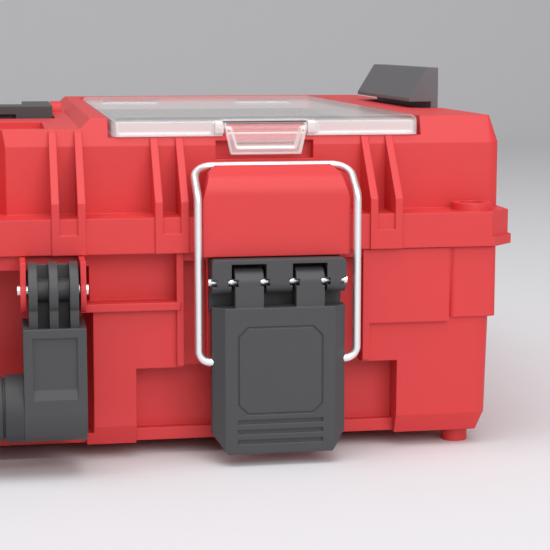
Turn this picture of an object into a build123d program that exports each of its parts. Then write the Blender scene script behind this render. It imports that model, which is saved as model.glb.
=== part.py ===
from build123d import *
import os
from math import atan2, degrees

os.makedirs("parts", exist_ok=True)

# Moulded tool box with a latched lid, a front handle and two organisers in the lid.
# All lengths are millimetres. X runs to the right seen from the front, Z is up.
# Places in depth are distances behind the front face of the lid's flange.

# Case
flange_width = 456.0
flange_depth = 280.0
foot_height = 5.8
base_height = 71.7
seal_gap = 0.3
flange_height = 13.0
shoulder_height = 25.0
band_height = 10.2
band_lean = 3.5
wall = 3.0
overrun = 6.0
pin_fit = 0.05
running_gap = 0.5

# Base
base_setback = 2.8
base_side_setback = 7.0
base_corner = 6.0
draft_run = 1.6
bottom_chamfer_height = 7.2
bottom_chamfer_run = 3.0
rim_height = 5.2
mouth_front = 28.0
base_mouth_rear_rim = 14.0
mouth_side_rim = 18.0
mouth_corner = 12.0
pad_setback = 1.5
pad_drop = 28.1
corner_pad_width = 24.8
corner_pad_setback = 2.2
corner_pad_drop = 26.7
corner_pad_proud = 1.0
corner_pad_length = 42.0
foot_radius = 5.0
foot_inset = 17.7
foot_setback = 17.0
recess_floor = 10.5
recess_rim_setback = 11.0
side_rib = 3.0
side_rib_proud = 2.4
side_rib_pitch = 34.0
side_rib_count = 5

# Recesses of the base's front
handle_recess_depth = 24.0
handle_recess_half = 70.0
handle_recess_slant = 3.2
panel_depth = 10.0
ledge_height = 2.9
ledge_drop = 18.0
ledge_setback = 0.8
ledge_depth = 12.0
finger_recess_depth = 15.0
finger_recess_top = 34.6
finger_recess_outer = 47.5
pillar_width = 15.1

# Lid
lip_height = 3.6
lip_proud = 1.3
corner_facet = 9.0
crown_setback = 17.0
crown_side_setback = 1.0
crown_corner = 4.5
lid_rim_height = 6.2
lid_mouth_rear_rim = 28.0
centre_margin = 10.3
centre_slope = 4.0
centre_drop = 4.0
brow_margin = 21.8
brow_slant = 4.4
brow_depth = 8.0
dip_margin = 12.5
dip_front = 25.0
dip_rear = 77.0
dip_depth = 3.0
seal_width = 4.0
seal_height = 2.5
seal_inset = 3.0
seal_fit = 0.1
boss_radius = 7.5
boss_hollow_radius = 4.6
boss_height = 3.0
boss_hollow_depth = 2.5
boss_inset = 14.5
boss_setback = 9.0

# Rib pairs of the lid, from the middle outward
rib_width = 2.8
rib_slot = 6.6
rib_proud = 1.0
rib_root = 2.0
rib_rise = 28.0
handle_rib_rise = 30.5
rib_bend = 5.7
rib_foot = 7.2
rib_channel = 3.0
handle_rib_offset = 6.3
inner_rib_offset = 37.9
outer_rib_offset = 41.9

# Latches
latch_offset = 12.7
latch_rib_inner = 33.6
latch_rib_width = 2.6
latch_rib_slant = 1.0
latch_channel_depth = 9.0
latch_seat_setback = 2.4
catch_half = 27.2
catch_taper = 2.8
catch_taper_drop = 12.0
catch_corner = 2.8
catch_round = 8.0
catch_proud = 5.0
catch_drop = 1.2
catch_face_rise = 27.0
catch_slope_rise = 5.6
catch_slope_run = 9.0
catch_lip = 1.6
catch_groove = 2.3
notch_half = 18.5
notch_depth = 4.5
notch_rise = 19.8
notch_height = 6.8
latch_pin_radius = 1.5
latch_pin_drop = 9.9
latch_pin_proud = 6.4
latch_pin_end = 1.0
bracket_half = 24.6
bracket_top_gap = 0.5
bracket_bar = 1.6
bracket_corner = 1.4
bracket_plate = 3.0
bracket_height = 20.0
bracket_knuckle_radius = 4.2
centre_knuckle_half = 4.8
lever_knuckle_inner = 6.0
lever_knuckle_outer = 16.4
outer_knuckle_inner = 17.6
lever_knuckle_radius = 5.2
pin_window = 1.8
pin_window_half = 1.3
lever_half = 24.6
lever_proud = 12.5
lever_rear_proud = 4.0
lever_notch_drop = 8.9
lever_bottom = 4.8
lever_corner_rise = 7.0
lever_corner_run = 5.2
lever_chamfer_run = 4.4
lever_chamfer_depth = 4.0
lever_pocket_half = 19.5
lever_pocket_depth = 4.2
lever_pocket_margin = 6.0
panel_half = 15.8
panel_corner = 3.6
panel_top_drop = 15.7
panel_bottom_rise = 14.5
panel_line = 0.7
panel_line_depth = 0.5
groove_count = 3
groove_pitch = 3.7
groove_width = 1.6
groove_depth = 0.9
groove_rise = 4.5
bail_radius = 1.5
bail_half = 29.3
bail_pivot_drop = 29.1
bail_pivot_proud = 7.4
bail_entry = 4.0
bail_bend_rise = 60.3
bail_bar_gap = 0.3
bail_foot_bend = 6.0
bail_knee_bend = 4.0
bail_corner_bend = 7.0
screw_place = 10.9
screw_drop = 3.0
screw_radius = 1.7
screw_head_radius = 3.1
screw_head_height = 1.6
screw_length = 11.0

# Front handle
handle_recess_margin = 15.1
handle_pin_radius = 2.0
handle_pin_drop = 11.0
handle_pin_proud = 8.0
handle_pin_end = 1.0
ear_inner = 9.5
ear_width = 2.0
ear_radius = 8.0
ear_front = 7.5
fin_radius = 10.3
fin_depth = 8.3
fin_width = 3.1
fin_pitch = 7.2
fin_boss_radius = 4.0
fin_web_radius = 9.4
fin_web_setback = 1.5
arm_half = 11.0
arm_radius = 12.2
arm_top_drop = 22.8
arm_pocket_depth = 10.0
arm_wall = 2.2
arm_panel_half = 7.8
arm_panel_depth = 1.0
arm_panel_low = 29.4
arm_panel_ramp = 3.6
arm_panel_margin = 3.2
grip_height = 24.5
grip_proud = 9.0
grip_radius = 11.7
collar_width = 6.6
collar_radius = 12.1
collar_groove = 1.0
collar_groove_depth = 0.9
core_radius = 6.0
core_end = 4.0

# Organisers in the lid
seat_half = 59.4
seat_depth = 7.2
seat_thickness = 3.3
seat_rear_rim = 35.4
tray_half = 53.5
tray_front = 26.5
tray_rear_rim = 48.5
tray_height = 23.8
tray_wall = 1.8
tray_floor = 2.0
tray_rim = 2.5
tray_rim_height = 1.5
tray_corner = 4.0
divider_count = 3
divider_thickness = 1.6
divider_headroom = 2.0
cover_half = 58.3
cover_front = 16.5
cover_rear_rim = 44.0
cover_rise = 0.6
cover_plate = 2.2
cover_skirt = 2.0
cover_corner = 4.0
cover_edge = 2.6
cover_frame = 2.4
cover_panel_depth = 0.5
cover_hinge_rim = 40.0
cover_hinge_drop = 3.4
cover_pin_radius = 1.2
cover_barrel_radius = 2.7
cover_barrel_inner = 20.0
cover_barrel_outer = 48.0
clip_axis_setback = 16.2
clip_axis_drop = 3.7
clip_shift = 1.0
clip_half = 15.4
clip_foot_half = 13.2
clip_length = 9.9
clip_plate = 1.6
clip_edge = 2.2
clip_edge_proud = 1.4
clip_lip_height = 2.6
clip_bar_radius = 1.9
clip_nub_reach = 3.2
clip_nub_height = 1.6
trunnion_radius = 1.0
trunnion_length = 2.4
cover_lug_width = 3.2
cover_lug_proud = 2.3
cover_lug_height = 4.2
upstand_front = 19.3
upstand_depth = 3.9
upstand_height = 4.4

# Stacking clips on the lid's sides
clip_span = 100.0
hook_plate = 3.0
hook_inset = 6.0
hook_rise = 17.0
hook_top = 4.6
hook_reach = 12.6
hook_tip_rise = 4.0
hook_tip = 1.4
hook_pin_inset = 3.0
hook_pin_drop = 16.0
hook_pin_radius = 2.0
hook_barrel_radius = 4.0
hook_pin_seat = 6.0
hook_pocket_inset = 4.8
hook_pocket_drop = 20.8

# Top handle
well_margin = 6.2
well_reach = 34.0
well_depth = 3.5
top_grip_reach = 30.0
top_grip_width = 22.0
top_grip_gap = 0.8
top_arm_width = 12.0
top_handle_height = 8.0
top_handle_lift = 0.5
top_hinge_reach = 26.0
top_hinge_radius = 4.0
top_pin_radius = 1.6
top_lug_width = 5.0
top_pin_seat = 4.0
scallop_count = 7
scallop_width = 7.0
scallop_depth = 3.0
scallop_height = 4.5

# Rear hinge
hinge_radius = 5.0
hinge_pin_radius = 2.0
hinge_rise = 1.5
lid_knuckle_half = 11.6
base_knuckle_width = 10.0
hinge_web_drop = 12.0

# Worked out from the sizes above
half = flange_width / 2
seam = foot_height + base_height
lid_bottom = seam + seal_gap
flange_top = lid_bottom + flange_height
crease = flange_top + shoulder_height
top = crease + band_height
rim_bottom = seam - rim_height
lid_rim_top = lid_bottom + lid_rim_height
seat = top - seat_depth
ceiling = seat - seat_thickness
centre_top = top - centre_drop
crown_half = half - crown_side_setback
base_half = half - base_side_setback
mouth_half = half - mouth_side_rim
base_mouth_rear = flange_depth - base_mouth_rear_rim
lid_mouth_rear = flange_depth - lid_mouth_rear_rim
handle_place = handle_recess_half - handle_recess_margin
latch_place = (handle_recess_half + half) / 2 - latch_offset
pad_inner = latch_place + latch_rib_inner + latch_rib_width
clip_place = latch_place - clip_shift
pad_split = half - corner_pad_width
finger_recess_inner = handle_recess_half + pillar_width
handle_rib_place = handle_place + handle_rib_offset
inner_rib_place = latch_place - inner_rib_offset
outer_rib_place = latch_place + outer_rib_offset
brow_half = handle_rib_place - brow_margin
centre_half = latch_place - seat_half - centre_margin
dip_half = centre_half - dip_margin
well_half = centre_half - well_margin
top_grip_half = well_half - top_grip_gap
scallop_pitch = 2 * (top_grip_half - top_arm_width) / scallop_count
seat_rear = flange_depth - seat_rear_rim
tray_rear = flange_depth - tray_rear_rim
cover_rear = flange_depth - cover_rear_rim
hook_place = half - hook_inset
hook_pin_place = hook_place - hook_pin_inset
hook_pocket_place = hook_pin_place - hook_pocket_inset
rear_reach = 2 * hinge_radius + running_gap
front_reach = grip_proud + arm_radius
front = (front_reach - rear_reach - flange_depth) / 2


def back(distance):
    """The Y of a place that far behind the flange's front face."""
    return front + distance


middle = back(flange_depth / 2)
latch_pin_y = back(-latch_pin_proud)
latch_pin_z = seam - latch_pin_drop
bail_pivot_z = latch_pin_z - bail_pivot_drop
catch_top = lid_bottom - catch_drop + catch_face_rise + catch_slope_rise
bail_bar_z = catch_top - catch_groove + bail_radius + bail_bar_gap
bail_bar_y = back(catch_slope_run + catch_lip + bail_radius + bail_bar_gap - catch_proud)
handle_pin_y = back(-handle_pin_proud)
handle_pin_z = seam - handle_pin_drop
grip_y = back(-grip_proud)
arm_top = seam - arm_top_drop
hinge_y = back(flange_depth + running_gap + hinge_radius)
hinge_z = seam + hinge_rise
cover_hinge_y = back(flange_depth - cover_hinge_rim)
cover_hinge_z = top - cover_hinge_drop
clip_axis_y = back(clip_axis_setback)
clip_axis_z = top - clip_axis_drop
hook_pin_z = top - hook_pin_drop
well_floor = centre_top - well_depth
top_hinge_y = middle + top_hinge_reach
top_hinge_z = well_floor + top_handle_lift + top_hinge_radius


# Shapes that the pieces share
def block(x0, x1, y0, y1, z0, z1):
    return Pos((x0 + x1) / 2, (y0 + y1) / 2, (z0 + z1) / 2) * Box(x1 - x0, y1 - y0, z1 - z0)


def slab(x0, x1, y0, y1, z0, z1, corner):
    plan = Pos((x0 + x1) / 2, (y0 + y1) / 2, z0) * RectangleRounded(x1 - x0, y1 - y0, corner)
    return extrude(plan, amount=z1 - z0)


def rod_x(radius, x0, x1, y, z):
    return Pos((x0 + x1) / 2, y, z) * Rot(0, 90, 0) * Cylinder(radius, x1 - x0)


def rod_y(radius, y0, y1, x, z):
    return Pos(x, (y0 + y1) / 2, z) * Rot(90, 0, 0) * Cylinder(radius, y1 - y0)


def rod_z(radius, z0, z1, x, y):
    return Pos(x, y, (z0 + z1) / 2) * Cylinder(radius, z1 - z0)


def prism_x(outline, x0, x1):
    """An outline of (y, z) points, run along X."""
    return extrude(Plane.YZ.offset(x0) * Polygon(*outline, align=None), amount=x1 - x0, dir=(1, 0, 0))


def prism_y(outline, y0, y1):
    """An outline of (x, z) points, run along Y."""
    return extrude(Plane.XZ.offset(-y1) * Polygon(*outline, align=None), amount=y1 - y0, dir=(0, -1, 0))


def prism_z(outline, z0, z1):
    """An outline of (x, y) points, run along Z."""
    return extrude(Plane.XY.offset(z0) * Polygon(*outline, align=None), amount=z1 - z0, dir=(0, 0, 1))


def both(part):
    """A right-hand feature with its mirror image on the left."""
    return part + mirror(part, about=Plane.YZ)


def fore_and_aft(part):
    """A feature with its mirror image across the middle of the depth."""
    return part + mirror(part, about=Plane.XZ.offset(-middle))


def save(name, part):
    export_step(part, f"parts/{name}.step")


def save_pair(name, part):
    save(f"{name}_right", part)
    save(f"{name}_left", mirror(part, about=Plane.YZ))


# Base
def base_walls():
    wall_drop = base_height - bottom_chamfer_height
    depth = flange_depth - 2 * base_setback
    plan = Pos(0, middle, seam) * RectangleRounded(2 * base_half, depth, base_corner)
    sides = extrude(plan, amount=wall_drop, dir=(0, 0, -1), taper=degrees(atan2(draft_run, wall_drop)))
    low_plan = Pos(0, middle, seam - wall_drop) * RectangleRounded(
        2 * (base_half - draft_run), depth - 2 * draft_run, base_corner - draft_run
    )
    bottom_angle = degrees(atan2(bottom_chamfer_run, bottom_chamfer_height))
    bottom = extrude(low_plan, amount=bottom_chamfer_height, dir=(0, 0, -1), taper=bottom_angle)
    return sides + bottom


def base_pads():
    root = back(base_setback + draft_run + wall)
    pad = block(pad_inner, pad_split, back(pad_setback), root, seam - pad_drop, seam)
    side = base_half + corner_pad_proud
    corner = slab(
        pad_split, side, back(corner_pad_setback), back(corner_pad_length),
        seam - corner_pad_drop, seam, base_corner / 2,
    )
    pads = both(pad) + both(fore_and_aft(corner))
    rib_low = foot_height + bottom_chamfer_height
    for index in range(side_rib_count):
        place = middle + (index - (side_rib_count - 1) / 2) * side_rib_pitch
        rib = block(
            base_half - draft_run - wall, base_half + side_rib_proud - draft_run,
            place - side_rib / 2, place + side_rib / 2, rib_low, rim_bottom,
        )
        pads += both(rib)
    return pads


def base_feet():
    foot = rod_z(foot_radius, 0, foot_height + wall / 2, half - foot_inset, back(foot_setback))
    return both(fore_and_aft(foot))


def handle_recess():
    deep = handle_recess_half - handle_recess_slant
    plan = [
        (-handle_recess_half - overrun * handle_recess_slant / handle_recess_depth, back(-overrun)),
        (handle_recess_half + overrun * handle_recess_slant / handle_recess_depth, back(-overrun)),
        (deep, back(handle_recess_depth)),
        (-deep, back(handle_recess_depth)),
    ]
    rim = block(-deep, deep, back(-overrun), back(recess_rim_setback), -overrun, recess_floor + overrun)
    return prism_z(plan, recess_floor, rim_bottom) + rim


def front_panels():
    inner = handle_place + ear_inner + ear_width
    outer = latch_place - latch_rib_inner - latch_rib_width
    ledge_top = seam - ledge_drop
    return both(block(inner, outer, back(-overrun), back(panel_depth), ledge_top, seam + overrun))


def front_ledges():
    inner = handle_place + ear_inner
    outer = latch_place - latch_rib_inner - latch_rib_width / 2
    ledge_top = seam - ledge_drop
    low = ledge_top - ledge_height
    return both(block(inner, outer, back(ledge_setback), back(ledge_depth), low, ledge_top))


def finger_recesses():
    x0, x1 = finger_recess_inner, latch_place + finger_recess_outer
    recess = block(x0, x1, back(-overrun), back(finger_recess_depth), recess_floor, finger_recess_top)
    recess += block(x0, x1, back(-overrun), back(recess_rim_setback), -overrun, finger_recess_top)
    for side in (-1, 1):
        a = latch_place + side * (bracket_half + running_gap)
        b = latch_place + side * latch_rib_inner
        recess += block(
            min(a, b), max(a, b), back(-overrun), back(latch_channel_depth), recess_floor, seam - wall
        )
    return both(recess)


def latch_seats():
    seat_face = back(latch_seat_setback)
    root = back(base_setback + draft_run + wall)
    reach = bracket_half + running_gap
    pad = block(latch_place - reach, latch_place + reach, seat_face, root, finger_recess_top, seam)
    low, rib_face = finger_recess_top, back(pad_setback)
    outline = [(root, low), (rib_face, low + latch_rib_slant), (rib_face, seam), (root, seam)]
    for side in (-1, 1):
        centre = latch_place + side * (latch_rib_inner + latch_rib_width / 2)
        pad += prism_x(outline, centre - latch_rib_width / 2, centre + latch_rib_width / 2)
    return both(pad)


def handle_ears():
    ears = None
    wall_y = back(handle_recess_depth + wall / 2)
    for side in (-1, 1):
        centre = handle_place + side * (ear_inner + ear_width / 2)
        x0, x1 = centre - ear_width / 2, centre + ear_width / 2
        ear = block(x0, x1, handle_pin_y - ear_front, wall_y, handle_pin_z, seam)
        ear += rod_x(ear_radius, x0, x1, handle_pin_y, handle_pin_z)
        ear += block(x0, x1, handle_pin_y, wall_y, handle_pin_z - ear_radius, handle_pin_z)
        ears = ear if ears is None else ears + ear
    return both(ears)


def base_cavity():
    side = base_half - draft_run - wall
    rear = back(flange_depth - base_setback - draft_run - wall)
    handle_step = handle_recess_half + wall
    latch_step = latch_place + finger_recess_outer + wall
    outer_front = back(base_setback + draft_run + wall)
    latch_front = back(finger_recess_depth + wall)
    handle_front = back(handle_recess_depth + wall)
    right = [
        (handle_step, handle_front), (handle_step, latch_front),
        (latch_step, latch_front), (latch_step, outer_front), (side, outer_front), (side, rear),
    ]
    plan = right + [(-x, y) for x, y in reversed(right)]
    cavity = prism_z(plan, foot_height + wall, rim_bottom)
    cavity = chamfer(cavity.faces().sort_by(Axis.Z)[0].edges(), bottom_chamfer_run)
    mouth = slab(
        -mouth_half, mouth_half, back(mouth_front), back(base_mouth_rear),
        rim_bottom - overrun, seam + overrun, mouth_corner,
    )
    return cavity + mouth


def base_hinge_lugs():
    inner = lid_knuckle_half + running_gap
    root = back(flange_depth - base_setback - wall)
    low = seam - hinge_web_drop
    outline = [(root, low), (root, seam), (hinge_y, seam), (hinge_y, hinge_z - hinge_radius)]
    lugs = None
    for side in (-1, 1):
        x0 = latch_place + side * inner
        x1 = latch_place + side * (inner + base_knuckle_width)
        x0, x1 = min(x0, x1), max(x0, x1)
        lug = rod_x(hinge_radius, x0, x1, hinge_y, hinge_z) + prism_x(outline, x0, x1)
        lugs = lug if lugs is None else lugs + lug
    return both(lugs)


def pin_bore_x(radius, x0, x1, y, z):
    return both(rod_x(radius + pin_fit, x0, x1, y, z))


def screw_holes():
    holes = None
    seat_face = back(latch_seat_setback)
    for side in (-1, 1):
        place = latch_place + side * screw_place
        hole = rod_y(screw_radius + pin_fit, seat_face - overrun, seat_face + screw_length, place, screw_z())
        holes = hole if holes is None else holes + hole
    return both(holes)


def screw_z():
    return latch_pin_z - screw_drop


def base_shell():
    shell = base_walls() + base_pads()
    shell -= handle_recess()
    shell -= front_panels()
    shell -= finger_recesses()
    shell += latch_seats()
    shell += front_ledges()
    shell += handle_ears()
    shell += base_feet()
    shell += base_hinge_lugs()
    shell -= base_cavity()
    ear_reach = ear_inner + ear_width + overrun
    shell -= pin_bore_x(
        handle_pin_radius, handle_place - ear_reach, handle_place + ear_reach, handle_pin_y, handle_pin_z
    )
    hinge_end = lid_knuckle_half + running_gap + base_knuckle_width + overrun
    shell -= pin_bore_x(hinge_pin_radius, latch_place - hinge_end, latch_place + hinge_end, hinge_y, hinge_z)
    shell -= screw_holes()
    return shell


# Lid
def lid_flange():
    near, far = back(0), back(flange_depth)

    def faceted(side, high):
        right = [
            (side - corner_facet, near), (side, near + corner_facet),
            (side, far - corner_facet), (side - corner_facet, far),
        ]
        return prism_z(right + [(-x, y) for x, y in reversed(right)], lid_bottom, high)

    return faceted(half + lip_proud, lid_bottom + lip_height) + faceted(half, flange_top)


def lid_crown():
    depth = flange_depth - 2 * crown_setback
    shoulder = slab(
        -crown_half, crown_half, middle - depth / 2, middle + depth / 2,
        lid_bottom, crease, crown_corner,
    )
    plan = Pos(0, middle, crease) * RectangleRounded(2 * crown_half, depth, crown_corner)
    band = extrude(plan, amount=band_height, taper=degrees(atan2(band_lean, band_height)))
    return shoulder + band


def rib_outline(shift, rise):
    """The side view of a rib, drawn back by a shift."""
    face = back(shift - rib_proud)
    root = back(crown_setback + rib_root)
    return [
        (root, lid_bottom), (face, lid_bottom), (face, flange_top + rib_bend),
        (back(crown_setback + shift), flange_top + rise), (root, flange_top + rise),
    ]


def rib_pair(place, rise, channel):
    """Two ribs joined at the foot, with a deep or shallow slot between them."""
    x0, x1 = place - rib_slot / 2, place + rib_slot / 2
    foot_top = lid_bottom + rib_foot
    pair = prism_x(rib_outline(0, rise), x0 - rib_width, x1 + rib_width)
    slot = block(
        x0, x1, back(-overrun), back(crown_setback + rib_root), foot_top, flange_top + rise + overrun
    )
    if channel:
        return pair - slot + prism_x(rib_outline(channel, rise), x0, x1)
    return pair - slot


def catch_block():
    low = lid_bottom - catch_drop
    face = back(-catch_proud)
    face_top = low + catch_face_rise
    lip = back(catch_slope_run - catch_proud)
    groove = catch_top - catch_groove
    root = back(crown_setback + rib_root)
    outline = [
        (back(0) - seal_gap, low), (face, low), (face, face_top), (lip, catch_top),
        (lip + catch_lip, catch_top), (lip + catch_lip, groove), (root, groove), (root, lid_bottom),
        (back(0) - seal_gap, lid_bottom),
    ]
    x0, x1 = latch_place - catch_half, latch_place + catch_half
    right = [
        (catch_half, low), (catch_half, catch_top - catch_taper_drop),
        (catch_half - catch_taper, catch_top - catch_corner),
        (catch_half - catch_taper - catch_corner, catch_top),
    ]
    head = [(latch_place + x, z) for x, z in right] + [(latch_place - x, z) for x, z in reversed(right)]
    body = prism_x(outline, x0, x1)
    crease_edge = body.edges().filter_by(Axis.X).sort_by_distance((latch_place, face, face_top))[0]
    return fillet(crease_edge, catch_round) & prism_y(head, face, root)


def ring_boss():
    x, y = half - boss_inset, back(boss_setback)
    high = flange_top + boss_height
    return rod_z(boss_radius, flange_top - wall, high, x, y)


def boss_hollow():
    high = flange_top + boss_height
    x, y = half - boss_inset, back(boss_setback)
    return rod_z(boss_hollow_radius, high - boss_hollow_depth, high + overrun, x, y)


def centre_valley():
    edge = centre_half + centre_slope
    outline = [
        (edge, top), (edge, top + overrun), (-edge, top + overrun), (-edge, top),
        (-centre_half, centre_top), (centre_half, centre_top),
    ]
    return prism_y(outline, back(-overrun), back(flange_depth + overrun))


def brow_recess():
    deep = brow_half - brow_slant
    plan = [
        (-brow_half, back(-overrun)), (brow_half, back(-overrun)), (brow_half, back(crown_setback)),
        (deep, back(crown_setback + brow_depth)), (-deep, back(crown_setback + brow_depth)),
        (-brow_half, back(crown_setback)),
    ]
    return prism_z(plan, flange_top, top + overrun)


def top_wells():
    dip = block(
        -dip_half, dip_half, back(dip_front), back(dip_rear), centre_top - dip_depth, top + overrun
    )
    well = block(
        -well_half, well_half, middle - well_reach, middle + well_reach, well_floor, top + overrun
    )
    return dip + well


def organiser_seat():
    x0, x1 = latch_place - seat_half, latch_place + seat_half
    ledge = block(x0, x1, back(-overrun), back(seat_rear), seat, top + overrun)
    hole = block(
        latch_place - tray_half - running_gap, latch_place + tray_half + running_gap,
        back(tray_front - running_gap), back(tray_rear + running_gap), ceiling - overrun, seat + overrun,
    )
    notch_low = flange_top + notch_rise
    notch = block(
        clip_place - notch_half, clip_place + notch_half, back(-overrun), back(crown_setback + notch_depth),
        notch_low, notch_low + notch_height,
    )
    return ledge + hole + notch


def tray_upstand():
    reach = cover_half - cover_skirt - 2 * running_gap
    y0, y1 = back(upstand_front), back(upstand_front + upstand_depth)
    return block(latch_place - reach, latch_place + reach, y0, y1, seat - wall / 2, seat + upstand_height)


def cover_lugs():
    low, reach = seat, cover_barrel_inner - running_gap
    x0, x1 = latch_place - reach, latch_place + reach
    lug = rod_x(cover_barrel_radius, x0, x1, cover_hinge_y, cover_hinge_z)
    y0, y1 = cover_hinge_y - cover_barrel_radius, cover_hinge_y + cover_barrel_radius
    return lug + block(x0, x1, y0, y1, low - wall / 2, cover_hinge_z)


def hook_pocket():
    reach = clip_span / 2 + running_gap
    return block(
        hook_pocket_place, half + overrun, middle - reach, middle + reach,
        top - hook_pocket_drop, top + overrun,
    )


def hook_bore():
    reach = clip_span / 2 + hook_pin_seat
    return rod_y(hook_pin_radius + pin_fit, middle - reach, middle + reach, hook_pin_place, hook_pin_z)


def top_lugs():
    x0 = well_half
    x1 = x0 + top_lug_width
    y0, y1 = top_hinge_y - top_hinge_radius, top_hinge_y + top_hinge_radius
    lug = block(x0, x1, y0, y1, well_floor, top_hinge_z)
    return lug + rod_x(top_hinge_radius, x0, x1, top_hinge_y, top_hinge_z)


def lid_hollow():
    inner_half = crown_half - wall
    hollow = slab(
        -inner_half, inner_half, back(crown_setback + wall), back(flange_depth - crown_setback - wall),
        lid_rim_top, ceiling, crown_corner,
    )
    brow_reach = brow_half + wall
    hollow -= block(
        -brow_reach, brow_reach, back(0), back(crown_setback + brow_depth + wall), lid_rim_top, ceiling
    )
    notch_reach = notch_half + wall
    notch_back = block(
        clip_place - notch_reach, clip_place + notch_reach, back(0),
        back(crown_setback + notch_depth + wall), flange_top + notch_rise - wall, ceiling,
    )
    hook_reach_y = clip_span / 2 + hook_pin_seat + wall
    hook_back = block(
        hook_pocket_place - wall, half, middle - hook_reach_y, middle + hook_reach_y,
        top - hook_pocket_drop - wall, ceiling,
    )
    hollow -= both(notch_back + hook_back)
    mouth = slab(
        -mouth_half, mouth_half, back(mouth_front), back(lid_mouth_rear),
        lid_bottom - overrun, lid_rim_top + overrun, mouth_corner,
    )
    return hollow + mouth


def seal_ring(clearance, z0, z1):
    inner = mouth_half + seal_inset + clearance
    outer = mouth_half + seal_inset + seal_width - clearance
    front_in = back(mouth_front - seal_inset - clearance)
    front_out = back(mouth_front - seal_inset - seal_width + clearance)
    rear_in = back(base_mouth_rear + seal_inset + clearance)
    rear_out = back(base_mouth_rear + seal_inset + seal_width - clearance)
    corner_in = mouth_corner + seal_inset + clearance
    corner_out = mouth_corner + seal_inset + seal_width - clearance
    ring = slab(-outer, outer, front_out, rear_out, z0, z1, corner_out)
    return ring - slab(-inner, inner, front_in, rear_in, z0, z1, corner_in)


def lid_hinge_knuckles():
    root = back(flange_depth - wall)
    x0, x1 = latch_place - lid_knuckle_half, latch_place + lid_knuckle_half
    web = block(x0, x1, root, hinge_y, hinge_z, hinge_z + hinge_radius)
    return both(web + rod_x(hinge_radius, x0, x1, hinge_y, hinge_z))


def lid_shell():
    shell = lid_flange() + lid_crown()
    shell += both(rib_pair(handle_rib_place, handle_rib_rise, 0))
    for place in (inner_rib_place, outer_rib_place):
        shell += both(rib_pair(place, rib_rise, rib_channel))
    shell += both(catch_block())
    shell += both(ring_boss())
    shell -= both(boss_hollow())
    shell -= centre_valley()
    shell -= brow_recess()
    shell -= top_wells()
    shell -= both(organiser_seat())
    shell += both(tray_upstand())
    shell += both(cover_lugs())
    shell -= both(hook_pocket())
    shell += both(top_lugs())
    shell -= lid_hollow()
    shell -= seal_ring(0, lid_bottom, lid_bottom + seal_height)
    shell += lid_hinge_knuckles()
    shell -= both(hook_bore())
    knuckle_end = lid_knuckle_half + overrun
    shell -= pin_bore_x(
        hinge_pin_radius, latch_place - knuckle_end, latch_place + knuckle_end, hinge_y, hinge_z
    )
    pin_end = cover_barrel_outer + overrun
    shell -= pin_bore_x(
        cover_pin_radius, latch_place - pin_end, latch_place + pin_end, cover_hinge_y, cover_hinge_z
    )
    lug_end = well_half + top_pin_seat
    shell -= pin_bore_x(top_pin_radius, well_half - overrun, lug_end, top_hinge_y, top_hinge_z)
    return shell


def lid_seal():
    return seal_ring(seal_fit, seam, lid_bottom + seal_height)


# Latch
def pin_windows():
    """Small notches at the knuckle joints, through which the pin shows."""
    windows = None
    gaps = (
        (centre_knuckle_half + lever_knuckle_inner) / 2,
        (lever_knuckle_outer + outer_knuckle_inner) / 2,
        bracket_half,
    )
    for gap in gaps:
        for side in (-1, 1):
            x = latch_place + side * gap
            window = block(
                x - pin_window, x + pin_window, back(-lever_proud - overrun), latch_pin_y,
                latch_pin_z - pin_window_half, latch_pin_z + pin_window_half,
            )
            windows = window if windows is None else windows + window
    return windows


def latch_bore():
    end = bracket_half + overrun
    return rod_x(latch_pin_radius + pin_fit, latch_place - end, latch_place + end, latch_pin_y, latch_pin_z)


def latch_bracket():
    seat_face = back(latch_seat_setback)
    high = lid_bottom - catch_drop - bracket_top_gap
    x0, x1 = latch_place - bracket_half, latch_place + bracket_half
    plate_face = seat_face - bracket_plate
    near = latch_pin_y - bracket_knuckle_radius
    bracket = block(x0, x1, plate_face, seat_face, high - bracket_height, high)
    bracket += block(x0, x1, near, seat_face, high - bracket_bar, high)
    spans = (
        (-bracket_half, -outer_knuckle_inner), (-centre_knuckle_half, centre_knuckle_half),
        (outer_knuckle_inner, bracket_half),
    )
    for left, right in spans:
        a, b = latch_place + left, latch_place + right
        bracket += rod_x(bracket_knuckle_radius, a, b, latch_pin_y, latch_pin_z)
        bracket += block(a, b, latch_pin_y, plate_face, latch_pin_z - bracket_knuckle_radius, high)
        bracket += block(a, b, near, plate_face, latch_pin_z, high)
    bracket = fillet(bracket.edges().filter_by(Axis.Y).group_by(Axis.Z)[-1], bracket_corner)
    bracket -= pin_windows()
    bracket -= latch_bore()
    for side in (-1, 1):
        bracket -= bracket_screw(side, pin_fit)
    return bracket


def bracket_screw(side, clearance):
    """A countersunk screw, flush with the bracket's plate."""
    face = back(latch_seat_setback) - bracket_plate
    x = latch_place + side * screw_place
    shank = rod_y(screw_radius + clearance, face, face + screw_length, x, screw_z())
    cone = Plane(origin=(x, face, screw_z()), z_dir=(0, 1, 0)) * Cone(
        screw_head_radius + clearance, screw_radius + clearance, screw_head_height,
        align=(Align.CENTER, Align.CENTER, Align.MIN),
    )
    return shank + cone


def bracket_screws():
    screws = []
    for side in (-1, 1):
        screw = bracket_screw(side, 0)
        screws += [screw, mirror(screw, about=Plane.YZ)]
    return Compound(children=screws)


def lever_panel_line():
    high = latch_pin_z - panel_top_drop
    low = lever_bottom + panel_bottom_rise
    face = back(-lever_proud)

    def octagon(inset):
        x, cut = panel_half - inset, panel_corner - inset / 2
        z0, z1 = low + inset, high - inset
        right = [(x - cut, z0), (x, z0 + cut), (x, z1 - cut), (x - cut, z1)]
        points = right + [(-a, b) for a, b in reversed(right)]
        return [(latch_place + a, b) for a, b in points]

    depth = face + panel_line_depth
    ring = prism_y(octagon(0), face - overrun, depth)
    return ring - prism_y(octagon(panel_line), face - overrun, depth)


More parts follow.
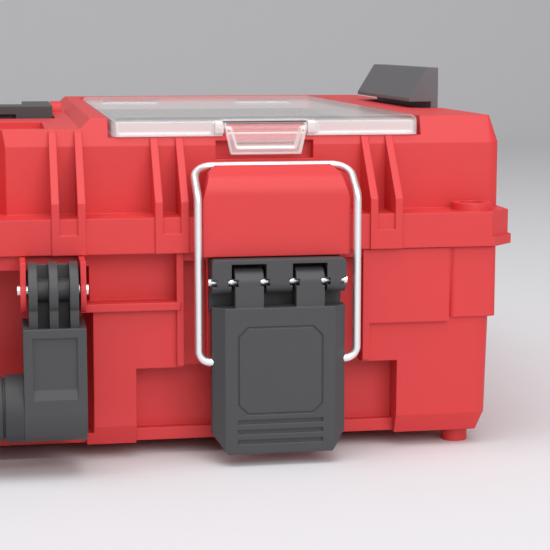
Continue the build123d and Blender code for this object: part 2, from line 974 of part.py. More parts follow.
def latch_lever():
    face, rear = back(-lever_proud), back(-lever_rear_proud)
    body_top = latch_pin_z - lever_notch_drop
    x0, x1 = latch_place - lever_half, latch_place + lever_half
    corner = lever_bottom + lever_corner_rise
    outline = [
        (x0, body_top), (x0, corner), (x0 + lever_corner_run, lever_bottom),
        (x1 - lever_corner_run, lever_bottom), (x1, corner), (x1, body_top),
    ]
    lever = prism_y(outline, face, rear)
    for side in (-1, 1):
        edge = latch_place + side * lever_half
        wedge = [
            (edge, face + lever_chamfer_depth), (edge, face - overrun),
            (edge - side * (lever_chamfer_run + overrun), face - overrun),
            (edge - side * lever_chamfer_run, face),
        ]
        lever -= prism_z(wedge, lever_bottom - overrun, body_top + overrun)
    lever -= block(
        latch_place - lever_pocket_half, latch_place + lever_pocket_half, rear - lever_pocket_depth,
        rear + overrun, lever_bottom + lever_pocket_margin, body_top - lever_pocket_margin,
    )
    lever -= lever_panel_line()
    for index in range(groove_count):
        z = lever_bottom + groove_rise + index * groove_pitch
        lever -= block(
            latch_place - panel_half, latch_place + panel_half, face - overrun, face + groove_depth,
            z - groove_width / 2, z + groove_width / 2,
        )
    for side in (-1, 1):
        a = latch_place + side * lever_knuckle_inner
        b = latch_place + side * lever_knuckle_outer
        a, b = min(a, b), max(a, b)
        lever += rod_x(lever_knuckle_radius, a, b, latch_pin_y, latch_pin_z)
        lever += block(
            a, b, latch_pin_y - lever_knuckle_radius, rear, body_top - running_gap, latch_pin_z
        )
    lever -= pin_windows()
    lever -= latch_bore()
    socket = rod_x(
        bail_radius + pin_fit, latch_place - lever_half - overrun,
        latch_place - lever_half + bail_entry + pin_fit, back(-bail_pivot_proud), bail_pivot_z,
    )
    lever -= socket + mirror(socket, about=Plane.YZ.offset(latch_place))
    return lever


def latch_bail():
    """Bent wire: in at the lever's sides, up the legs, back over the catch."""
    y, z = back(-bail_pivot_proud), bail_pivot_z
    inner, outer = lever_half - bail_entry, bail_half
    bend_z = bail_pivot_z + bail_bend_rise
    right = [(inner, y, z), (outer, y, z), (outer, y, bend_z), (outer, bail_bar_y, bail_bar_z)]
    points = [(latch_place - a, b, c) for a, b, c in right]
    points += [(latch_place + a, b, c) for a, b, c in reversed(right)]
    bends = [bail_foot_bend - bail_radius, bail_knee_bend, bail_corner_bend]
    path = FilletPolyline(*points, radius=bends + bends[::-1])
    section = Plane(origin=path @ 0, z_dir=path % 0) * Circle(bail_radius)
    return sweep(section, path=path)


def latch_pin():
    reach = bracket_half + latch_pin_end
    return rod_x(latch_pin_radius, latch_place - reach, latch_place + reach, latch_pin_y, latch_pin_z)


# Front handle
def handle_arm():
    x0, x1 = handle_place - arm_half, handle_place + arm_half
    near, far = grip_y - arm_radius, grip_y + arm_radius
    arm = block(x0, x1, near, far, grip_height, arm_top) + rod_x(arm_radius, x0, x1, grip_y, grip_height)
    arm -= block(
        x0 + arm_wall, x1 - arm_wall, near + arm_wall, far - arm_wall,
        arm_top - arm_pocket_depth, arm_top + overrun,
    )
    floor, panel_top = near + arm_panel_depth, arm_top - arm_panel_margin
    panel = [
        (near - overrun, arm_panel_low), (near, arm_panel_low), (floor, arm_panel_low + arm_panel_ramp),
        (floor, panel_top), (near - overrun, panel_top),
    ]
    arm -= prism_x(panel, handle_place - arm_panel_half, handle_place + arm_panel_half)
    for index in (-1, 0, 1):
        x = handle_place + index * fin_pitch
        a, b = x - fin_width / 2, x + fin_width / 2
        arm += rod_x(fin_radius, a, b, handle_pin_y, handle_pin_z)
        arm += block(
            a, b, handle_pin_y - fin_depth, handle_pin_y + fin_depth, arm_top - arm_pocket_depth, handle_pin_z
        )
    barrel = fin_pitch + fin_width / 2
    a, b = handle_place - barrel, handle_place + barrel
    arm += rod_x(fin_boss_radius, a, b, handle_pin_y, handle_pin_z)
    web_face = handle_pin_y + fin_web_setback
    web = rod_x(fin_web_radius, a, b, handle_pin_y, handle_pin_z)
    arm += web & block(
        a, b, web_face, handle_pin_y + fin_web_radius, handle_pin_z, handle_pin_z + fin_web_radius
    )
    arm += block(a, b, web_face, handle_pin_y + fin_depth, arm_top - arm_pocket_depth, handle_pin_z)
    arm -= rod_x(
        handle_pin_radius + pin_fit, x0 - overrun, x1 + overrun, handle_pin_y, handle_pin_z
    )
    arm -= rod_x(core_radius + pin_fit, x0 - overrun, x1 - core_end, grip_y, grip_height)
    return arm


def handle_grip():
    reach = handle_place - arm_half
    grip = rod_x(grip_radius, -reach, reach, grip_y, grip_height)
    collar = rod_x(collar_radius, reach - collar_width, reach, grip_y, grip_height)
    grip += both(collar)
    groove_x = reach - collar_width - collar_groove
    groove = rod_x(collar_radius + overrun, groove_x, groove_x + collar_groove, grip_y, grip_height)
    groove -= rod_x(
        grip_radius - collar_groove_depth, groove_x, groove_x + collar_groove, grip_y, grip_height
    )
    grip -= both(groove)
    return grip - rod_x(core_radius + pin_fit, -reach - overrun, reach + overrun, grip_y, grip_height)


def handle_core():
    reach = handle_place + arm_half - core_end
    return rod_x(core_radius, -reach, reach, grip_y, grip_height)


def handle_pin():
    reach = ear_inner + ear_width + handle_pin_end
    return rod_x(handle_pin_radius, handle_place - reach, handle_place + reach, handle_pin_y, handle_pin_z)


# Organisers
def organiser_tray():
    x0, x1 = latch_place - tray_half, latch_place + tray_half
    y0, y1 = back(tray_front), back(tray_rear)
    low, high = seat - tray_height, seat + tray_rim_height
    tray = slab(x0, x1, y0, y1, low, high, tray_corner)
    tray += slab(
        x0 - tray_rim, x1 + tray_rim, y0 - tray_rim, y1 + tray_rim, seat, high, tray_corner + tray_rim
    )
    return tray - block(
        x0 + tray_wall, x1 - tray_wall, y0 + tray_wall, y1 - tray_wall, low + tray_floor, high + overrun
    )


def organiser_dividers():
    """Loose plates that part the tray into bins of one length."""
    reach = tray_half - tray_wall - seal_fit
    y0, y1 = back(tray_front + tray_wall), back(tray_rear - tray_wall)
    low = seat - tray_height + tray_floor
    step = (y1 - y0) / (divider_count + 1)
    plates = []
    for index in range(divider_count):
        y = y0 + (index + 1) * step
        plates.append(
            block(
                latch_place - reach, latch_place + reach,
                y - divider_thickness / 2, y + divider_thickness / 2,
                low, seat + tray_rim_height - divider_headroom,
            )
        )
    return plates


def cover_bosses():
    lugs = None
    inner = clip_half + running_gap
    for side in (-1, 1):
        a = clip_place + side * inner
        b = clip_place + side * (inner + cover_lug_width)
        a, b = min(a, b), max(a, b)
        lug = block(
            a, b, back(cover_front - cover_lug_proud), back(cover_front + cover_skirt),
            clip_axis_z - cover_lug_height / 2, clip_axis_z + cover_lug_height / 2,
        )
        lugs = lug if lugs is None else lugs + lug
    return lugs


def organiser_cover():
    x0, x1 = latch_place - cover_half, latch_place + cover_half
    y0, y1 = back(cover_front), back(cover_rear)
    low, high = seat + seal_gap, top + cover_rise
    cover = slab(x0, x1, y0, y1, low, high, cover_corner)
    cover = fillet(cover.faces().sort_by(Axis.Z)[-1].edges(), cover_edge)
    cover -= block(
        x0 + cover_skirt, x1 - cover_skirt, y0 + cover_skirt, y1 - cover_skirt,
        low - overrun, high - cover_plate,
    )
    for side in (-1, 1):
        a = latch_place + side * cover_barrel_inner
        b = latch_place + side * cover_barrel_outer
        a, b = min(a, b), max(a, b)
        cover += rod_x(cover_barrel_radius, a, b, cover_hinge_y, cover_hinge_z)
        cover += block(
            a, b, y1 - cover_skirt, cover_hinge_y, cover_hinge_z, cover_hinge_z + cover_barrel_radius
        )
    gap = clip_half + running_gap
    for side in (-1, 1):
        a = clip_place + side * (gap + cover_lug_width + cover_frame / 2)
        b = latch_place + side * (cover_half - cover_frame)
        cover -= block(
            min(a, b), max(a, b), y0 - overrun, y0 + cover_panel_depth,
            low + cover_frame / 2, high - cover_frame,
        )
    cover += cover_bosses()
    cover -= block(
        clip_place - gap, clip_place + gap, y0 - overrun, clip_axis_y + clip_bar_radius + running_gap,
        low - overrun, clip_axis_z + clip_bar_radius + running_gap,
    )
    end = gap + trunnion_length + pin_fit
    cover -= rod_x(trunnion_radius + pin_fit, clip_place - end, clip_place + end, clip_axis_y, clip_axis_z)
    pin_end = cover_barrel_outer + overrun
    return cover - rod_x(
        cover_pin_radius + pin_fit, latch_place - pin_end, latch_place + pin_end, cover_hinge_y, cover_hinge_z
    )


def cover_clip():
    """Flip clip: a bar with trunnions, a tapered plate with raised edges and a hook."""
    low = clip_axis_z - clip_length
    rear = clip_axis_y
    plate_face = rear - clip_plate
    outline = [
        (clip_place - clip_half, clip_axis_z), (clip_place - clip_foot_half, low),
        (clip_place + clip_foot_half, low), (clip_place + clip_half, clip_axis_z),
    ]
    clip = prism_y(outline, plate_face - clip_edge_proud, rear)
    panel = [
        (clip_place - clip_half + clip_edge, clip_axis_z),
        (clip_place - clip_foot_half + clip_edge, low + clip_lip_height),
        (clip_place + clip_foot_half - clip_edge, low + clip_lip_height),
        (clip_place + clip_half - clip_edge, clip_axis_z),
    ]
    clip -= prism_y(panel, plate_face - clip_edge_proud - overrun, plate_face)
    clip += rod_x(clip_bar_radius, clip_place - clip_half, clip_place + clip_half, clip_axis_y, clip_axis_z)
    end = clip_half + trunnion_length
    clip += rod_x(trunnion_radius, clip_place - end, clip_place + end, clip_axis_y, clip_axis_z)
    hook = clip_foot_half - clip_edge
    hook_high = flange_top + notch_rise + notch_height - running_gap
    clip += block(
        clip_place - hook, clip_place + hook, plate_face, rear + clip_nub_reach,
        hook_high - clip_nub_height, hook_high,
    )
    return clip


def cover_pin():
    end = cover_barrel_outer
    return rod_x(cover_pin_radius, latch_place - end, latch_place + end, cover_hinge_y, cover_hinge_z)


# Stacking clips
def stacking_clip():
    outer, inner = hook_place, hook_place - hook_plate
    high = top + hook_rise
    tip = outer - hook_reach
    under = top + hook_tip_rise - hook_tip
    outline = [
        (outer, hook_pin_z), (outer, high), (outer - hook_top, high), (tip, under + hook_tip),
        (tip, under), (inner, under), (inner, hook_pin_z),
    ]
    y0, y1 = middle - clip_span / 2, middle + clip_span / 2
    clip = prism_y(outline, y0, y1) + rod_y(hook_barrel_radius, y0, y1, hook_pin_place, hook_pin_z)
    return clip - rod_y(hook_pin_radius + pin_fit, y0 - overrun, y1 + overrun, hook_pin_place, hook_pin_z)


def stacking_clip_pin():
    reach = clip_span / 2 + hook_pin_seat
    return rod_y(hook_pin_radius, middle - reach, middle + reach, hook_pin_place, hook_pin_z)


# Top handle
def top_handle():
    low = well_floor + top_handle_lift
    high = low + top_handle_height
    y0 = middle - top_grip_reach
    y1 = y0 + top_grip_width
    handle = block(-top_grip_half, top_grip_half, y0, y1, low, high)
    arm_in = top_grip_half - top_arm_width
    arm = block(arm_in, top_grip_half, y1, top_hinge_y, low, high)
    arm += rod_x(top_hinge_radius, arm_in, top_grip_half, top_hinge_y, top_hinge_z)
    handle += both(arm)
    for index in range(scallop_count):
        x = (index - (scallop_count - 1) / 2) * scallop_pitch
        handle -= block(
            x - scallop_width / 2, x + scallop_width / 2, y0 - overrun, y0 + scallop_depth,
            low - overrun, low + scallop_height,
        )
    return handle - pin_bore_x(
        top_pin_radius, arm_in - overrun, top_grip_half + overrun, top_hinge_y, top_hinge_z
    )


def top_handle_pin():
    return rod_x(
        top_pin_radius, top_grip_half - top_arm_width, well_half + top_pin_seat, top_hinge_y, top_hinge_z
    )


def hinge_pin():
    reach = lid_knuckle_half + running_gap + base_knuckle_width
    return rod_x(hinge_pin_radius, latch_place - reach, latch_place + reach, hinge_y, hinge_z)


save("base_shell", base_shell())
save("lid_shell", lid_shell())
save("lid_seal", lid_seal())
save("bracket_screws", bracket_screws())
save("handle_grip", handle_grip())
save("handle_core", handle_core())
save("top_handle", top_handle())
pairs = {
    "latch_bracket": latch_bracket,
    "latch_lever": latch_lever,
    "latch_bail": latch_bail,
    "latch_pin": latch_pin,
    "handle_arm": handle_arm,
    "handle_pin": handle_pin,
    "organiser_tray": organiser_tray,
    "organiser_cover": organiser_cover,
    "cover_clip": cover_clip,
    "cover_pin": cover_pin,
    "stacking_clip": stacking_clip,
    "stacking_clip_pin": stacking_clip_pin,
    "top_handle_pin": top_handle_pin,
    "hinge_pin": hinge_pin,
}
for name, make in pairs.items():
    save_pair(name, make())
dividers = organiser_dividers()
save("organiser_dividers_right", Compound(children=dividers))
save("organiser_dividers_left", Compound(children=[mirror(plate, about=Plane.YZ) for plate in dividers]))
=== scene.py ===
from math import cos, radians, sin

import bmesh
import bpy
from bpy.props import FloatProperty, FloatVectorProperty, PointerProperty
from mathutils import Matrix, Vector

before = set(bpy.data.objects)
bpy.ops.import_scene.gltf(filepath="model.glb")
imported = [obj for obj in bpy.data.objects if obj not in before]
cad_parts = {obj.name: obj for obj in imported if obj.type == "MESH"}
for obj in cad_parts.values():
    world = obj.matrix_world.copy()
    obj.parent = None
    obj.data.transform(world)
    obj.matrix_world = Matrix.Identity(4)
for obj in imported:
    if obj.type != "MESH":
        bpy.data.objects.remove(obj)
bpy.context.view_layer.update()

bl_info = {
    "name": "Moulded tool box",
    "version": (1, 0, 0),
    "blender": (4, 5, 0),
    "location": "View3D > Sidebar > Tool box",
    "description": "Finishes a latched tool box with a front handle and two organisers in its lid",
    "category": "Object",
}

MM = 0.001
SIDES = ("right", "left")

# Edges are found by comparing a face's own normal with one rounded over the edge: their dot
# product falls from about 1 on the flat. Each pair says where an edge begins and where it is full.
MOULDED_EDGE = (0.99, 0.72)
CLEAR_EDGE = (0.998, 0.88)

# Moulded plastic: its colour and gloss drift in soft patches, and edges turn paler, partly as wear
# and partly as a painted highlight.
# The refractive index is polypropylene's, and the other opaque plastics share it.
PLASTIC_IOR = 1.49
PATCH_WIDTH = 35 * MM
PATCH_SHADE = (0.94, 1.05)
PATCH_GLOSS = 0.05
DIMPLE_DEPTH = 0.05 * MM
# How an edge's colour turns paler, partly worn and partly painted as if light caught it.
WORN_AND_HIGHLIT_GAIN = 1.25
WORN_AND_HIGHLIT_LIFT = 0.05

# Polished steel: real polishing marks are too fine to show, so they are drawn this wide.
POLISH_WIDTH = 1.2 * MM
POLISH_GLOSS = (-0.04, 0.06)

# Clear polycarbonate: an opacity of 0 lets everything through, and 1 hides what lies behind.
# Level faces whiten as they slant from the eye, a painted reflection, where 0 is face on and 1 is
# edge on.
# A face is fully level once the upward part of its normal, 0 to 1, has reached LEVEL_FROM.
POLYCARBONATE_IOR = 1.58
# Opacity of level faces from face on to edge on: the face-on value is the plastic's own milkiness,
# the rise a painted reflection.
PAINTED_REFLECTION_SLANT = (0.35, 0.95)
REFLECTION_PAINT_OPACITY = (0.07, 0.44)
# Edges are painted nearly opaque white, a painted highlight of the light they gather.
EDGE_HIGHLIGHT_OPACITY = 0.95
LEVEL_FROM = 0.6
HAZE_WIDTH = 14 * MM
HAZE_GLOSS = (0.08, 0.16)

# Stage: the backdrop's reach to the sides, front and top, its rear and its bend, in metres.
SHEET_REACH = 4.0
SHEET_REAR = 2.4
SHEET_BEND = 0.8
BEND_STEPS = 12
PAPER_ROUGHNESS = 0.9
WORLD_STRENGTH = 0.4
SENSOR_WIDTH_MM = 36.0
CAMERA_NEAR = 0.02


def srgb(code):
    """An sRGB hex colour as linear red, green, blue and alpha."""
    channels = [int(code[place:place + 2], 16) / 255 for place in (1, 3, 5)]
    linear = [c / 12.92 if c <= 0.04045 else ((c + 0.055) / 1.055) ** 2.4 for c in channels]
    return (*linear, 1.0)


def colour(name, description, code):
    """A colour property with an sRGB hex value as its default."""
    return FloatVectorProperty(name=name, description=description, subtype="COLOR", size=4,
                               min=0, max=1, default=srgb(code))


def length(name, description, millimetres):
    """A length property with a default given in millimetres."""
    return FloatProperty(name=name, description=description, subtype="DISTANCE", unit="LENGTH",
                         min=0, default=millimetres * MM)


class ToolBoxFinish(bpy.types.PropertyGroup):
    """Colours and surface sizes of the tool box's materials."""

    case: colour("Case", "Red of the base and lid", "#D43638")
    dark: colour("Dark parts", "Grey of the latches and handles", "#424244")
    hook: colour("Stacking clips", "Grey of the stacking clips", "#646467")
    grip: colour("Grip", "Grey of the front handle's grip", "#39393B")
    tray: colour("Trays", "Grey of the organiser trays", "#4A4A4D")
    clear: colour("Covers", "Tint of the clear covers and their clips", "#F6F2F2")
    steel: colour("Steel", "Bails, pins and screws", "#F6F6F7")
    seal: colour("Seal", "Rubber seal of the lid", "#151515")
    edge: length("Edge rounding", "Radius of the moulded edges", 0.6)
    # The covers' white edges, this wide, are a painted highlight.
    rim: length("Cover edges", "Width of the covers' edges that gather light", 1.6)
    grain: length("Mould grain", "Width of one dimple of the mould's grain", 0.9)


class ToolBoxStage(bpy.types.PropertyGroup):
    """Floor, lamps and camera."""

    floor: colour("Floor", "Pale floor and backdrop", "#DCDCDF")
    key: FloatProperty(name="Main lamp", description="Power of the large lamp above",
                       subtype="POWER", unit="POWER", default=17.0)
    fill: FloatProperty(name="Fill lamp", description="Power of the lamp in front",
                        subtype="POWER", unit="POWER", default=17.0)
    eye: FloatVectorProperty(name="Camera place", description="Where the camera stands",
                             subtype="TRANSLATION", unit="LENGTH",
                             default=(0.0384, -0.7112, 0.15417))
    tilt: FloatProperty(name="Camera tilt", description="How far it looks down",
                        subtype="ANGLE", unit="ROTATION", default=radians(8.30))
    turn: FloatProperty(name="Camera turn", description="How far it looks to the right",
                        subtype="ANGLE", unit="ROTATION", default=radians(9.638))
    lens: FloatProperty(name="Lens", description="Focal length on a 36 mm sensor",
                        subtype="DISTANCE_CAMERA", default=105.0)


def node(tree, kind, settings=None, **inputs):
    """Adds a node with its settings and inputs.

    An input goes by its label, with _ for each space, or by its number, such as _0.
    It takes a value or another node's socket.
    """
    made = tree.nodes.new(kind)
    for name, value in (settings or {}).items():
        setattr(made, name, value)
    for name, value in inputs.items():
        by_number = name[0] == "_"
        socket = made.inputs[int(name[1:]) if by_number else name.replace("_", " ")]
        if isinstance(value, bpy.types.NodeSocket):
            tree.links.new(value, socket)
        else:
            socket.default_value = value
    return made


def blank(name):
    """A new node material with an empty tree."""
    material = bpy.data.materials.new(name)
    material.use_nodes = True
    material.node_tree.nodes.clear()
    return material, material.node_tree


def finish():
    """The colours and surface sizes in use."""
    return bpy.context.scene.tool_box_finish


def finished(name, make, **values):
    """A material made once and shared by the pieces that ask for it by name."""
    return bpy.data.materials.get(name) or make(name, **values)


def moulded_plastic(name, tone, roughness, grain_height, wear):
    """Moulded plastic: soft edges, the mould's fine grain, and paler edges, partly worn and partly
    a painted highlight.
    """
    look = finish()
    material, tree = blank(name)
    place = node(tree, "ShaderNodeTexCoord").outputs["Object"]
    rounded = node(tree, "ShaderNodeBevel", {"samples": 6}, Radius=look.edge).outputs["Normal"]
    true = node(tree, "ShaderNodeNewGeometry").outputs["True Normal"]
    facing = node(tree, "ShaderNodeVectorMath", {"operation": "DOT_PRODUCT"},
                  _0=rounded, _1=true).outputs["Value"]
    # Paler edges: partly wear, partly a painted highlight along each edge.
    worn_and_highlit = node(tree, "ShaderNodeMapRange", {"clamp": True}, Value=facing,
                  From_Min=MOULDED_EDGE[0], From_Max=MOULDED_EDGE[1],
                  To_Min=0.0, To_Max=wear).outputs["Result"]
    # The grain of a real mould is too fine to show, so its dimples are drawn wider.
    dimples = node(tree, "ShaderNodeTexNoise", Vector=place, Scale=1 / look.grain,
                   Detail=2.0, Roughness=0.5).outputs["Fac"]
    patches = node(tree, "ShaderNodeTexNoise", Vector=place, Scale=1 / PATCH_WIDTH,
                   Detail=3.0, Roughness=0.6).outputs["Fac"]
    shade = node(tree, "ShaderNodeMapRange", Value=patches,
                 To_Min=PATCH_SHADE[0], To_Max=PATCH_SHADE[1]).outputs["Result"]
    body = node(tree, "ShaderNodeVectorMath", {"operation": "SCALE"},
                _0=tone[:3], Scale=shade).outputs["Vector"]
    # The paler edge colour stands for worn plastic and for a painted highlight.
    pale = [min(1.0, channel * WORN_AND_HIGHLIT_GAIN + WORN_AND_HIGHLIT_LIFT) for channel in tone[:3]]
    tint = node(tree, "ShaderNodeMix", {"data_type": "RGBA"},
                Factor=worn_and_highlit, _6=body, _7=(*pale, 1.0)).outputs[2]
    gloss = node(tree, "ShaderNodeMapRange", Value=patches,
                 To_Min=roughness - PATCH_GLOSS, To_Max=roughness + PATCH_GLOSS).outputs["Result"]
    bumps = node(tree, "ShaderNodeBump", Strength=grain_height, Distance=DIMPLE_DEPTH,
                 Height=dimples, Normal=rounded).outputs["Normal"]
    shader = node(tree, "ShaderNodeBsdfPrincipled", Base_Color=tint, Roughness=gloss,
                  Normal=bumps, IOR=PLASTIC_IOR)
    node(tree, "ShaderNodeOutputMaterial", Surface=shader.outputs["BSDF"])
    return material


def polished_steel(name, tone, roughness):
    """Polished steel: bright, with a faintly uneven polish."""
    material, tree = blank(name)
    place = node(tree, "ShaderNodeTexCoord").outputs["Object"]
    marks = node(tree, "ShaderNodeTexNoise", Vector=place, Scale=1 / POLISH_WIDTH,
                 Detail=3.0).outputs["Fac"]
    gloss = node(tree, "ShaderNodeMapRange", Value=marks, To_Min=roughness + POLISH_GLOSS[0],
                 To_Max=roughness + POLISH_GLOSS[1]).outputs["Result"]
    shader = node(tree, "ShaderNodeBsdfPrincipled", Base_Color=tone, Metallic=1.0,
                  Roughness=gloss)
    node(tree, "ShaderNodeOutputMaterial", Surface=shader.outputs["BSDF"])
    return material


def clear_polycarbonate(name, tone, side):
    """Clear polycarbonate: see-through faces, and edges painted white, a painted highlight of the
    light they gather.

    Level faces are clear from above and whiter at a low angle, a painted reflection. Upright ones
    have one opacity, side, partly the plastic's haze and partly painted light.
    """
    material, tree = blank(name)
    piece = node(tree, "ShaderNodeTexCoord").outputs
    rounded = node(tree, "ShaderNodeBevel", {"samples": 8},
                   Radius=finish().rim).outputs["Normal"]
    true = node(tree, "ShaderNodeNewGeometry").outputs["True Normal"]
    facing = node(tree, "ShaderNodeVectorMath", {"operation": "DOT_PRODUCT"},
                  _0=rounded, _1=true).outputs["Value"]
    # Painted reflection: level faces turn whiter as they slant from the eye.
    slant = node(tree, "ShaderNodeLayerWeight", Blend=0.5).outputs["Facing"]
    painted_reflection = node(tree, "ShaderNodeMapRange", {"clamp": True}, Value=slant,
                From_Min=PAINTED_REFLECTION_SLANT[0], From_Max=PAINTED_REFLECTION_SLANT[1],
                To_Min=REFLECTION_PAINT_OPACITY[0], To_Max=REFLECTION_PAINT_OPACITY[1]).outputs["Result"]
    # Upright faces take the opacity side, whose white is partly haze and partly painted light
    # gathered in the walls.
    upward = node(tree, "ShaderNodeSeparateXYZ", Vector=piece["Normal"]).outputs["Z"]
    level = node(tree, "ShaderNodeMath", {"operation": "ABSOLUTE"}, _0=upward).outputs["Value"]
    face = node(tree, "ShaderNodeMapRange", {"clamp": True}, Value=level,
                From_Max=LEVEL_FROM, To_Min=side, To_Max=painted_reflection).outputs["Result"]
    # Edges are painted nearly opaque white: a painted highlight.
    opacity = node(tree, "ShaderNodeMapRange", {"clamp": True}, Value=facing,
                   From_Min=CLEAR_EDGE[0], From_Max=CLEAR_EDGE[1],
                   To_Min=face, To_Max=EDGE_HIGHLIGHT_OPACITY).outputs["Result"]
    haze = node(tree, "ShaderNodeTexNoise", Vector=piece["Object"], Scale=1 / HAZE_WIDTH,
                Detail=3.0).outputs["Fac"]
    gloss = node(tree, "ShaderNodeMapRange", Value=haze,
                 To_Min=HAZE_GLOSS[0], To_Max=HAZE_GLOSS[1]).outputs["Result"]
    shader = node(tree, "ShaderNodeBsdfPrincipled", Base_Color=tone, Roughness=gloss,
                  Normal=rounded, IOR=POLYCARBONATE_IOR, Alpha=opacity)
    node(tree, "ShaderNodeOutputMaterial", Surface=shader.outputs["BSDF"])
    return material


def red_polypropylene():
    """Polypropylene, moulded: a satin red, a little paler along the edges, partly worn and partly a
    painted highlight.
    """
    return finished("polypropylene_red_moulded", moulded_plastic, tone=finish().case,
                    roughness=0.52, grain_height=0.25, wear=0.35)


def dark_abs():
    """ABS, moulded: a dark, satin grey whose paler edges stand out, partly worn and partly a
    painted highlight.
    """
    return finished("abs_dark_grey_moulded", moulded_plastic, tone=finish().dark,
                    roughness=0.5, grain_height=0.35, wear=0.55)


def clip_abs():
    """ABS, moulded: the dark parts' surface in a lighter grey."""
    return finished("abs_grey_moulded", moulded_plastic, tone=finish().hook,
                    roughness=0.5, grain_height=0.35, wear=0.55)


def grip_elastomer():
    """Elastomer, moulded: darker and duller than the handle's arms, with a deeper grain."""
    return finished("elastomer_grip_moulded", moulded_plastic, tone=finish().grip,
                    roughness=0.6, grain_height=0.5, wear=0.3)


def tray_polypropylene():
    """Polypropylene, moulded: a plain satin grey under the clear covers."""
    return finished("polypropylene_tray_moulded", moulded_plastic, tone=finish().tray,
                    roughness=0.5, grain_height=0.25, wear=0.3)


def seal_rubber():
    """Rubber, extruded: black and dull, with no paler edges."""
    return finished("rubber_seal_extruded", moulded_plastic, tone=finish().seal,
                    roughness=0.7, grain_height=0.4, wear=0.0)


def bail_steel():
    """Steel wire, polished: nearly white, with broad, soft highlights."""
    return finished("steel_wire_polished", polished_steel, tone=finish().steel, roughness=0.42)


def pin_steel():
    """Steel rod, drawn: glossier than the wire, with smaller highlights."""
    return finished("steel_pin_drawn", polished_steel, tone=finish().steel, roughness=0.28)


def cover_polycarbonate():
    """Clear polycarbonate of the covers: the upright rim looks half white, partly haze and partly
    painted light.
    """
    return finished("polycarbonate_clear_moulded", clear_polycarbonate, tone=finish().clear,
                    side=0.5)


def clip_polycarbonate():
    """Clear polycarbonate of the cover clips: the case shows through their upright faces."""
    return finished("polycarbonate_clip_moulded", clear_polycarbonate, tone=finish().clear,
                    side=0.24)


def dress(material, *names):
    """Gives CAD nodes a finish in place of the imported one."""
    for name in names:
        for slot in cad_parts[name].material_slots:
            slot.link = "OBJECT"
            slot.material = material


def pair(name):
    """The names of a piece's right and left nodes."""
    return [f"{name}_{side}" for side in SIDES]


class TOOLBOX_OT_case(bpy.types.Operator):
    """Finishes the moulded base and lid and the lid's rubber seal"""

    bl_idname = "toolbox.case"
    bl_label = "Case"

    def execute(self, context):
        dress(red_polypropylene(), "base_shell", "lid_shell")
        dress(seal_rubber(), "lid_seal")
        return {"FINISHED"}


class TOOLBOX_OT_latches(bpy.types.Operator):
    """Finishes the latch brackets, levers, wire bails, pins and screws"""

    bl_idname = "toolbox.latches"
    bl_label = "Latches"

    def execute(self, context):
        dress(dark_abs(), *pair("latch_bracket"), *pair("latch_lever"))
        dress(bail_steel(), *pair("latch_bail"))
        dress(pin_steel(), *pair("latch_pin"), "bracket_screws")
        return {"FINISHED"}


class TOOLBOX_OT_front_handle(bpy.types.Operator):
    """Finishes the front handle's arms, grip, core and pins"""

    bl_idname = "toolbox.front_handle"
    bl_label = "Front handle"

    def execute(self, context):
        dress(dark_abs(), *pair("handle_arm"))
        dress(grip_elastomer(), "handle_grip")
        dress(pin_steel(), "handle_core", *pair("handle_pin"))
        return {"FINISHED"}


class TOOLBOX_OT_organisers(bpy.types.Operator):
    """Finishes the lid's trays and dividers, their clear covers, clips and pins"""

    bl_idname = "toolbox.organisers"
    bl_label = "Organisers"

    def execute(self, context):
        dress(tray_polypropylene(), *pair("organiser_tray"), *pair("organiser_dividers"))
        dress(cover_polycarbonate(), *pair("organiser_cover"))
        dress(clip_polycarbonate(), *pair("cover_clip"))
        dress(pin_steel(), *pair("cover_pin"))
        return {"FINISHED"}


class TOOLBOX_OT_stacking_clips(bpy.types.Operator):
    """Finishes the stacking clips on the lid's sides and their pins"""

    bl_idname = "toolbox.stacking_clips"
    bl_label = "Stacking clips"

    def execute(self, context):
        dress(clip_abs(), *pair("stacking_clip"))
        dress(pin_steel(), *pair("stacking_clip_pin"))
        return {"FINISHED"}


class TOOLBOX_OT_top_handle(bpy.types.Operator):
    """Finishes the fold-flat handle on the lid and its pins"""

    bl_idname = "toolbox.top_handle"
    bl_label = "Top handle"

    def execute(self, context):
        dress(dark_abs(), "top_handle")
        dress(pin_steel(), *pair("top_handle_pin"))
        return {"FINISHED"}


class TOOLBOX_OT_hinges(bpy.types.Operator):
    """Finishes the pins of the rear hinges"""

    bl_idname = "toolbox.hinges"
    bl_label = "Rear hinges"

    def execute(self, context):
        dress(pin_steel(), *pair("hinge_pin"))
        return {"FINISHED"}


def matt_paper(tone):
    """Paper, uncoated: an even, matt surface that shows soft shadows and no gloss."""
    material, tree = blank("paper_backdrop_matt")
    shader = node(tree, "ShaderNodeBsdfPrincipled", Base_Color=tone, Roughness=PAPER_ROUGHNESS)
    node(tree, "ShaderNodeOutputMaterial", Surface=shader.outputs["BSDF"])
    return material


def backdrop(tone):
    """A pale sheet: flat under the object, curving up behind it."""
    bend_start = SHEET_REAR - SHEET_BEND
    profile = [(-SHEET_REACH, 0.0), (bend_start, 0.0)]
    for step in range(1, BEND_STEPS + 1):
        turn = radians(90 * step / BEND_STEPS)
        profile.append((bend_start + SHEET_BEND * sin(turn), SHEET_BEND - SHEET_BEND * cos(turn)))
    profile.append((SHEET_REAR, SHEET_REACH))
    sheet = bpy.data.meshes.new("floor_sheet")
    grid = bmesh.new()
    rows = [[grid.verts.new((side * SHEET_REACH, y, z)) for side in (-1, 1)] for y, z in profile]
    for low, high in zip(rows, rows[1:]):
        grid.faces.new((low[0], low[1], high[1], high[0])).smooth = True
    grid.to_mesh(sheet)
    grid.free()
    sheet.materials.append(matt_paper(tone))
    floor = bpy.data.objects.new("floor_sheet", sheet)
    bpy.context.scene.collection.objects.link(floor)


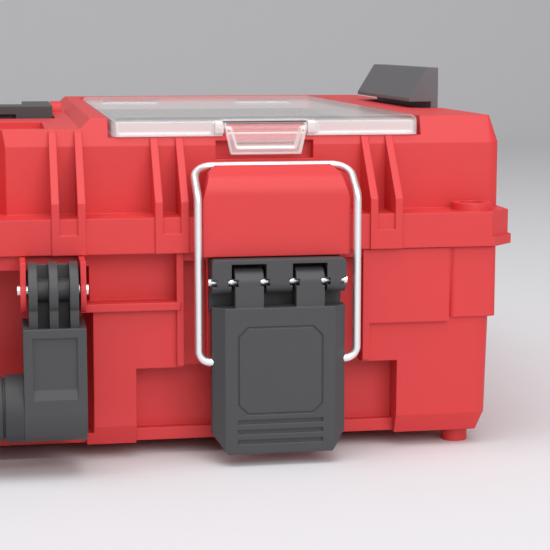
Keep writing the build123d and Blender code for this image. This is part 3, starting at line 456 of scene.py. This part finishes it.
def lamp(name, power, size, place, aim):
    """A soft rectangular lamp that faces a point."""
    light = bpy.data.lights.new(name, "AREA")
    light.shape = "RECTANGLE"
    light.size, light.size_y = size
    light.energy = power
    holder = bpy.data.objects.new(name, light)
    holder.location = place
    holder.rotation_euler = (Vector(aim) - Vector(place)).to_track_quat("-Z", "Y").to_euler()
    bpy.context.scene.collection.objects.link(holder)


class TOOLBOX_OT_stage(bpy.types.Operator):
    """Makes the floor, the soft lamps and the camera"""

    bl_idname = "toolbox.stage"
    bl_label = "Stage"

    def execute(self, context):
        scene = context.scene
        look = scene.tool_box_stage
        backdrop(look.floor)
        lamp("lamp_above", look.key, size=(1.6, 1.2),
             place=(-0.1, -0.45, 1.5), aim=(0.1, 0.0, 0.05))
        lamp("lamp_front", look.fill, size=(1.4, 1.0),
             place=(0.45, -1.7, 0.95), aim=(0.1, 0.0, 0.08))
        world = bpy.data.worlds.new("studio")
        world.use_nodes = True
        background = world.node_tree.nodes["Background"].inputs
        background["Color"].default_value = srgb("#FFFFFF")
        background["Strength"].default_value = WORLD_STRENGTH
        scene.world = world
        scene.view_settings.view_transform = "Standard"
        lens = bpy.data.cameras.new("camera")
        lens.sensor_fit = "HORIZONTAL"
        lens.sensor_width = SENSOR_WIDTH_MM
        lens.lens = look.lens
        lens.clip_start = CAMERA_NEAR
        camera = bpy.data.objects.new("camera", lens)
        camera.location = look.eye
        camera.rotation_euler = (radians(90) - look.tilt, 0.0, -look.turn)
        scene.collection.objects.link(camera)
        scene.camera = camera
        return {"FINISHED"}


class TOOLBOX_PT_sidebar(bpy.types.Panel):
    """Lists the tool box's sizes, colours and pieces"""

    bl_idname = "TOOLBOX_PT_sidebar"
    bl_label = "Tool box"
    bl_space_type = "VIEW_3D"
    bl_region_type = "UI"
    bl_category = "Tool box"

    def draw(self, context):
        for group in (context.scene.tool_box_finish, context.scene.tool_box_stage):
            box = self.layout.box()
            for name in group.__annotations__:
                box.prop(group, name)
        for operator in OPERATORS:
            self.layout.operator(operator.bl_idname)


OPERATORS = (
    TOOLBOX_OT_case, TOOLBOX_OT_latches, TOOLBOX_OT_front_handle, TOOLBOX_OT_organisers,
    TOOLBOX_OT_stacking_clips, TOOLBOX_OT_top_handle, TOOLBOX_OT_hinges, TOOLBOX_OT_stage,
)
CLASSES = (ToolBoxFinish, ToolBoxStage, *OPERATORS, TOOLBOX_PT_sidebar)


def register():
    """Adds the classes and the scene's two groups of properties."""
    for made in CLASSES:
        bpy.utils.register_class(made)
    bpy.types.Scene.tool_box_finish = PointerProperty(type=ToolBoxFinish)
    bpy.types.Scene.tool_box_stage = PointerProperty(type=ToolBoxStage)


def unregister():
    """Takes away what register added."""
    del bpy.types.Scene.tool_box_stage
    del bpy.types.Scene.tool_box_finish
    for made in reversed(CLASSES):
        bpy.utils.unregister_class(made)


def main():
    """Finishes every piece and sets the stage."""
    register()
    bpy.ops.toolbox.case()
    bpy.ops.toolbox.latches()
    bpy.ops.toolbox.front_handle()
    bpy.ops.toolbox.organisers()
    bpy.ops.toolbox.stacking_clips()
    bpy.ops.toolbox.top_handle()
    bpy.ops.toolbox.hinges()
    bpy.ops.toolbox.stage()


if __name__ == "__main__":
    main()
